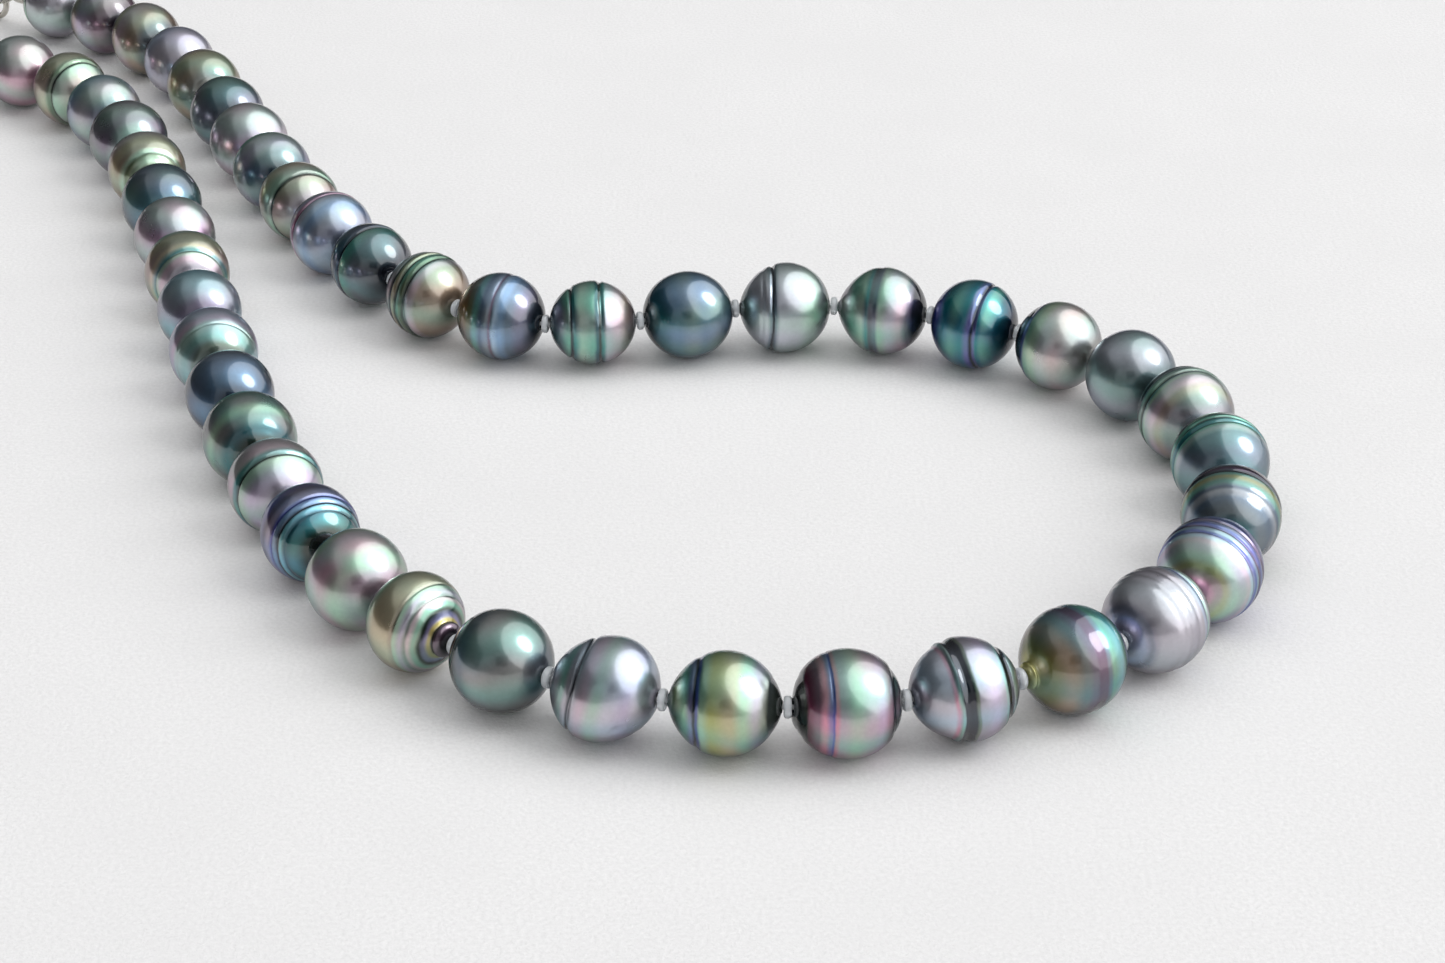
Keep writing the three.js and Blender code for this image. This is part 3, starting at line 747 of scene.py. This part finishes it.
def metal_material(name, base, roughness):
    """Polished metal with faint smears and hairline scratches."""
    material, tree, shader = new_material(name, Metallic=1.0)
    where = object_place(tree)
    smear = noise_value(tree, where, 420, 3.0, 0.6)
    rough = map_range(tree, smear, 0.3, 0.7, roughness * 0.7, roughness * 1.5)
    tree.links.new(rough, shader.inputs["Roughness"])
    colour = mix_colour(tree, map_range(tree, smear, 0.3, 0.7, 0.0, 1.0), linear(base), linear("b9b4aa"))
    tree.links.new(colour, shader.inputs["Base Color"])
    stretched = tree.nodes.new("ShaderNodeMapping")
    stretched.inputs["Scale"].default_value = (1.0, 9.0, 1.0)
    tree.links.new(where, stretched.inputs["Vector"])
    hair = noise_value(tree, stretched.outputs[0], 1500, 4.0, 0.7)
    tree.links.new(bump_from(tree, hair, 0.00001, 0.4), shader.inputs["Normal"])
    return material


def tube(path, radius, sides, closed=False):
    """Vertices and faces of a round tube along a path. An open tube has flat ends."""
    points = [Vector(p) for p in path]
    count = len(points)
    vertices = []
    normal = None
    for k, point in enumerate(points):
        before = points[k - 1] if k > 0 or closed else point
        after = points[(k + 1) % count] if k < count - 1 or closed else point
        along = (after - before).normalized()
        if normal is None:
            normal = along.orthogonal().normalized()
        normal = (normal - along * normal.dot(along)).normalized()
        side = along.cross(normal)
        for i in range(sides):
            angle = 2 * math.pi * i / sides
            vertices.append(point + (normal * math.cos(angle) + side * math.sin(angle)) * radius)
    return vertices, ring_faces(count, sides, closed) + ([] if closed else cap_faces(count, sides))


def smooth_path(corners, steps):
    """A smooth path through corners, with the same number of steps between each two."""
    path = []
    for k in range(len(corners) - 1):
        a = corners[max(k - 1, 0)]
        b, c = corners[k], corners[k + 1]
        d = corners[min(k + 2, len(corners) - 1)]
        for i in range(steps):
            t = i / steps
            point = 2 * b + (c - a) * t
            point += (2 * a - 5 * b + 4 * c - d) * t ** 2
            point += (3 * b - a - 3 * c + d) * t ** 3
            path.append(0.5 * point)
    return path + [corners[-1]]


def even_path(path, spacing):
    """The same path with its points a given distance apart."""
    found, walked = [path[0]], 0.0
    for a, b in zip(path, path[1:]):
        step = (b - a).length
        while walked + step >= spacing * len(found):
            share = (spacing * len(found) - walked) / step
            found.append(a.lerp(b, share))
        walked += step
    return found


def helix_round(path, radius, pitch, per_turn):
    """A fine helix wound round a path that lies nearly flat."""
    fine = even_path(path, pitch / per_turn)
    found = []
    for k, point in enumerate(fine):
        along = (fine[min(k + 1, len(fine) - 1)] - fine[max(k - 1, 0)]).normalized()
        side = along.cross(UP).normalized()
        over = side.cross(along)
        angle = 2 * math.pi * k / per_turn
        found.append(point + (side * math.cos(angle) + over * math.sin(angle)) * radius)
    return found


def prism(outline, bottom, top, name):
    """A solid with an outline seen from above, as an object that booleans can use."""
    vertices = [(x, y, z) for z in (bottom, top) for x, y in outline]
    count = len(outline)
    return mesh_object(name, vertices, cap_faces(2, count) + ring_faces(2, count, closed=False), white_gold)


def curved_outline(parts, steps=14):
    """An outline from corners (x, y) and curves (control x, control y, x, y)."""
    outline = []
    for part in parts:
        if len(part) == 2:
            outline.append(part)
            continue
        cx, cy, x, y = part
        x0, y0 = outline[-1]
        for i in range(1, steps + 1):
            t = i / steps
            outline.append(((1 - t) ** 2 * x0 + 2 * t * (1 - t) * cx + t * t * x,
                            (1 - t) ** 2 * y0 + 2 * t * (1 - t) * cy + t * t * y))
    return outline


def apply_modifier(piece, kind, **settings):
    modifier = piece.modifiers.new(kind.lower(), kind)
    for key, value in settings.items():
        setattr(modifier, key, value)
    piece.data = bpy.data.meshes.new_from_object(piece.evaluated_get(bpy.context.evaluated_depsgraph_get()))
    piece.modifiers.clear()


def combine(piece, other, operation):
    """Joins or cuts a piece with another, which is used up."""
    link(piece)
    link(other)
    apply_modifier(piece, "BOOLEAN", object=other, operation=operation, solver="EXACT")
    bpy.data.objects.remove(other)


def round_edges(piece, width, segments):
    """Rounds the edges where a piece turns by more than 50 degrees."""
    link(piece)
    apply_modifier(piece, "BEVEL", width=width, segments=segments, limit_method="ANGLE",
                   angle_limit=math.radians(50), use_clamp_overlap=False)


def tidy_mesh(piece, degrees=35):
    """Welds a piece's corners, and shades it smooth except over sharp edges."""
    work = bmesh.new()
    work.from_mesh(piece.data)
    bmesh.ops.remove_doubles(work, verts=work.verts, dist=1e-7)
    bmesh.ops.recalc_face_normals(work, faces=work.faces)
    work.to_mesh(piece.data)
    work.free()
    piece.data.polygons.foreach_set("use_smooth", [True] * len(piece.data.polygons))
    piece.data.set_sharp_from_angle(angle=math.radians(degrees))


white_gold = metal_material("white_gold", "dcd9d2", 0.12)
spring_steel = metal_material("spring_steel", "9a9da2", 0.28)


# ---- strand ends ----

# In mm. A start is counted from the middle of the last gap, outwards.
CRIMP_START, CRIMP_LENGTH = 0.55, 2.0
CRIMP_OUTER, CRIMP_INNER = 1.15, 0.75  # radii
LOOP_RADIUS, LEG_OFFSET = 1.3, 0.464  # the thread's loop, and how far its legs stand off the axis
COIL_RADIUS, COIL_WIRE, COIL_PITCH = 0.5, 0.085, 0.19
KNOT_START, KNOT_LENGTH, KNOT_RADIUS, KNOT_WAVE, KNOT_THREAD, KNOT_TURNS = 1.55, 0.35, 0.3, 0.04, 0.17, 2
RING_RADIUS, RING_WIRE = 2.1, 0.4
SLIT = 1.2  # degrees to each side, in a cut ring


class End:
    """One end of the strand: its axes, with x outwards, and the places of its loop and ring."""

    def __init__(self, gap, neighbour, loop_joint, ring):
        self.gap = gap
        outwards = gap - neighbour
        outwards.z = 0
        self.x = outwards.normalized()
        self.y = UP.cross(self.x)
        self.loop = joint_point(loop_joint)
        ring_low, ring_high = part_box(ring)
        self.ring = (ring_low + ring_high) / 2

    def matrix(self, origin):
        return matrix_from(self.x, self.y, UP, origin)

    def loop_path(self):
        """The middle of the thread's loop, in metres: out of the crimp, round, and back."""
        mouth = self.gap + self.x * (CRIMP_START + CRIMP_LENGTH + 0.1) * MM
        corners = [mouth - self.y * LEG_OFFSET * MM]
        for i in range(13):
            angle = math.radians(135) * (i / 6 - 1)
            way = self.x * math.cos(angle) + self.y * math.sin(angle)
            corners.append(self.loop + way * LOOP_RADIUS * MM)
        corners.append(mouth + self.y * LEG_OFFSET * MM)
        return smooth_path(corners, 8)


def crimp(end, name, body):
    """A crimped tube: two pressed grooves and rolled rims."""
    outer, inner = CRIMP_OUTER, CRIMP_INNER
    profile = [(inner, 0.12), (inner + 0.1, 0.03), (outer - 0.16, 0.0), (outer - 0.04, 0.06), (outer, 0.2)]
    for place in (0.66, 1.34):
        for k in range(-4, 5):
            depth = 0.13 * math.exp(-((k / 2) ** 2))
            profile.append((outer - depth, place + 0.07 * k))
    profile += [(outer, 1.8), (outer - 0.04, 1.94), (outer - 0.16, 2.0), (inner + 0.1, 1.97), (inner, 1.88)]
    shape = revolve([(radius * MM, z * MM) for radius, z in profile], 48)
    start = end.gap + end.x * CRIMP_START * MM
    piece = mesh_object("polished_" + name, *shape, white_gold, axis_matrix(start, end.x))
    finish_piece(piece, body, [name])
    tidy_mesh(piece)


def wire_guard(end, name, body):
    """French wire: a tight coil of fine wire that covers the loop of thread."""
    helix = helix_round(end.loop_path(), (COIL_RADIUS - COIL_WIRE) * MM, COIL_PITCH * MM, 14)
    piece = mesh_object("coiled_" + name, *tube(helix, COIL_WIRE * MM, 6), white_gold)
    finish_piece(piece, body, [name])


def thread_loop(end, label, body):
    """The thread that runs from the last gap through the crimp and round the loop, with its knot."""
    path = [end.gap + end.x * 0.5 * MM, end.gap + end.x * 1.4 * MM] + end.loop_path()
    path.append(end.gap + end.x * 1.6 * MM)
    steps = 60
    knot = []
    for k in range(steps + 1):
        angle = 2 * math.pi * KNOT_TURNS * k / steps
        bulge = KNOT_RADIUS + KNOT_WAVE * math.cos(angle / 2)
        across = end.x * (KNOT_START + KNOT_LENGTH * k / steps) + end.y * bulge * math.cos(angle)
        knot.append(end.gap + across * MM + UP * bulge * math.sin(angle) * MM)
    for kind, shape in (("loop", tube(path, THREAD_RADIUS, 10)), ("knot", tube(knot, KNOT_THREAD * MM, 8))):
        piece = mesh_object("thread_%s_%s" % (kind, label), *shape, thread)
        finish_piece(piece, body, ["thread_and_spacers"])


def ring(end, name, body, cut):
    """A round ring of wire. A cut ring has the fine slit it was opened at, with flat ends."""
    slit = SLIT if cut else 0.0
    count = 96
    path = []
    for k in range(count + 1 if cut else count):
        angle = math.radians(90 + slit + (360 - 2 * slit) * k / count)
        path.append((RING_RADIUS * MM * math.cos(angle), 0, RING_RADIUS * MM * math.sin(angle)))
    shape = tube(path, RING_WIRE * MM, 24, closed=not cut)
    piece = mesh_object("polished_" + name, *shape, white_gold, end.matrix(end.ring))
    finish_piece(piece, body, [name])
    tidy_mesh(piece, 50)


end_a = End(gaps[0], gaps[1], "jump_ring_swing", "clasp_jump_ring")
end_b = End(gaps[-1], gaps[-2], "end_ring_swing", "end_ring")
for end, label, body in ((end_a, "a", "clasp_end"), (end_b, "b", "ring_end")):
    crimp(end, "crimp_tube_" + label, body)
    wire_guard(end, "wire_coil_guard_" + label, body)
    thread_loop(end, label, body)
ring(end_a, "clasp_jump_ring", "jump_ring", cut=True)
ring(end_b, "end_ring", "end_ring", cut=False)


# ---- lobster clasp ----

# In mm, from the eye's axis on the clasp's underside, with x towards the hook.
DEPTH_OF_CLAW = 3.0
EYE_HEIGHT, EYE_HALF, EYE_RADIUS, EYE_HOLE = 1.6, 0.45, 1.9, 1.0  # EYE_HALF is half its thickness
PIVOT, BORE_RADIUS = (3.7, -1.35), 0.5
SLOT_HALF, LEVER_HALF = 0.6, 0.45  # half the widths of the lever's slot and of the lever
SPRING_X, SPRING_LOW, SPRING_HIGH, SPRING_RADIUS, SPRING_WIRE, SPRING_TURNS = 4.2, -0.66, 0.83, 0.3, 0.075, 6
CLAW = [(1.5, -1.2), (1.55, -2.55, 2.9, -2.7), (5.0, -2.7), (5.0, -0.9), (4.6, 1.6, 6.6, 2.1),
        (9.6, 2.5, 10.1, -0.6), (10.2, -1.9), (11.7, -1.9), (12.6, 2.6, 9.4, 3.7), (5.6, 4.6, 2.8, 2.6),
        (1.6, 1.65), (1.5, 1.2)]
LEVER = [(3.0, -1.9), (3.0, -4.0), (3.5, -4.25, 4.0, -4.2), (4.1, -3.2, 4.6, -2.5), (7.4, -2.9, 9.7, -2.3),
         (9.75, -1.3), (7.0, -1.7, 4.9, -0.8), (3.5, -0.75)]

claw_origin = joint_point("claw_swing") - UP * EYE_HEIGHT * MM
claw_matrix = end_a.matrix(claw_origin)


def clasp_piece(piece, name, body):
    """Moves a piece from the clasp's own millimetres to its place, and names it."""
    piece.data.transform(Matrix.Scale(MM, 4))
    piece.matrix_world = claw_matrix
    piece.name = name
    finish_piece(piece, body, [name.split("-")[-1]])


def neck_outlines(far):
    """Seen from the side, what is cut away above and below the eye, with rounded corners at the neck."""
    over, under = EYE_HEIGHT + EYE_HALF, EYE_HEIGHT - EYE_HALF
    above = [(-1.8, over), (1.5, over), (2.0, over, 2.0, over + 0.45), (2.0, DEPTH_OF_CLAW - 0.3),
             (2.0, DEPTH_OF_CLAW, 2.35, DEPTH_OF_CLAW), (2.35, far), (-1.8, far)]
    below = [(-1.8, -far), (2.35, -far), (2.35, 0.0), (2.0, 0.0, 2.0, 0.3), (2.0, under - 0.45),
             (2.0, under, 1.5, under), (-1.8, under)]
    return above, below


def claw_body():
    claw = prism(curved_outline(CLAW), 0, DEPTH_OF_CLAW, "claw_work")
    round_edges(claw, 0.55, 6)
    eye_profile = rounded_ring(EYE_HOLE, EYE_RADIUS, 2 * EYE_HALF, 0.3, 7)
    eye_vertices, eye_faces = revolve(eye_profile, 56)
    eye_vertices = [(x, y, z + EYE_HEIGHT) for x, y, z in eye_vertices]
    middle = DEPTH_OF_CLAW / 2
    far = 2 * DEPTH_OF_CLAW
    for side, outline in enumerate(neck_outlines(far)):
        cut = prism(curved_outline(outline, 8), -2.6, 2.6, "neck_cut_%d" % side)
        cut.data.transform(Matrix.Rotation(math.pi / 2, 4, "X"))
        combine(claw, cut, "DIFFERENCE")
    combine(claw, prism(circle(0, 0, 1.35, 56), -far, far, "eye_bore"), "DIFFERENCE")
    combine(claw, mesh_object("eye_work", eye_vertices, eye_faces, white_gold), "UNION")
    slot = [(2.9, -4.1), (7.5, -4.1), (7.5, 0.0), (2.9, 0.0)]
    combine(claw, prism(slot, middle - SLOT_HALF, middle + SLOT_HALF, "slot_cut"), "DIFFERENCE")
    combine(claw, prism(circle(*PIVOT, BORE_RADIUS), -far, far, "bore"), "DIFFERENCE")
    pocket = prism(circle(0, 0, 0.46, 32), -1.0, 1.0, "pocket")
    pocket.data.transform(Matrix.Translation((SPRING_X, 0, middle)) @ Matrix.Rotation(math.pi / 2, 4, "X"))
    combine(claw, pocket, "DIFFERENCE")
    tidy_mesh(claw)
    clasp_piece(claw, "polished-claw_body", "claw")


def claw_lever():
    """The lever, with a ribbed thumb tab."""
    middle = DEPTH_OF_CLAW / 2
    lever = prism(curved_outline(LEVER), middle - LEVER_HALF, middle + LEVER_HALF, "lever_work")
    round_edges(lever, 0.16, 4)
    for k in range(4):
        notch = prism(circle(2.93, -3.75 + 0.42 * k, 0.1, 16), 0, DEPTH_OF_CLAW, "notch")
        combine(lever, notch, "DIFFERENCE")
    combine(lever, prism(circle(*PIVOT, BORE_RADIUS), -1, 2 * DEPTH_OF_CLAW, "bore"), "DIFFERENCE")
    tidy_mesh(lever)
    clasp_piece(lever, "polished-claw_lever", "lever")


def lever_pin():
    """A pin with slightly domed, rounded ends."""
    tall, wide = 1.45, 0.45
    profile = [(0.0, -tall), (0.25, -tall + 0.01), (0.38, -tall + 0.04), (wide, -tall + 0.14)]
    profile += [(radius, -z) for radius, z in reversed(profile)]
    vertices, faces = revolve(profile, 32, closed=False)
    vertices = [(x + PIVOT[0], y + PIVOT[1], z + DEPTH_OF_CLAW / 2) for x, y, z in vertices]
    pin = mesh_object("pin_work", vertices, faces, white_gold)
    tidy_mesh(pin, 50)
    clasp_piece(pin, "polished-lever_pin", "claw")


def lever_spring():
    """A compression spring with closed ends."""
    per_turn = 24
    path = []
    for k in range(SPRING_TURNS * per_turn + 1):
        share = k / (SPRING_TURNS * per_turn)
        eased = min(max((share * SPRING_TURNS - 0.8) / (SPRING_TURNS - 1.6), 0.0), 1.0)
        length = SPRING_HIGH - SPRING_LOW - 2 * SPRING_WIRE
        along = SPRING_LOW + SPRING_WIRE + length * (0.1 * share + 0.9 * eased)
        angle = 2 * math.pi * k / per_turn
        path.append((SPRING_X + SPRING_RADIUS * math.cos(angle), along,
                     DEPTH_OF_CLAW / 2 + SPRING_RADIUS * math.sin(angle)))
    piece = mesh_object("spring_work", *tube(path, SPRING_WIRE, 8), spring_steel)
    clasp_piece(piece, "coiled-lever_spring", "claw")
    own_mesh(piece)


claw_body()
claw_lever()
lever_pin()
lever_spring()
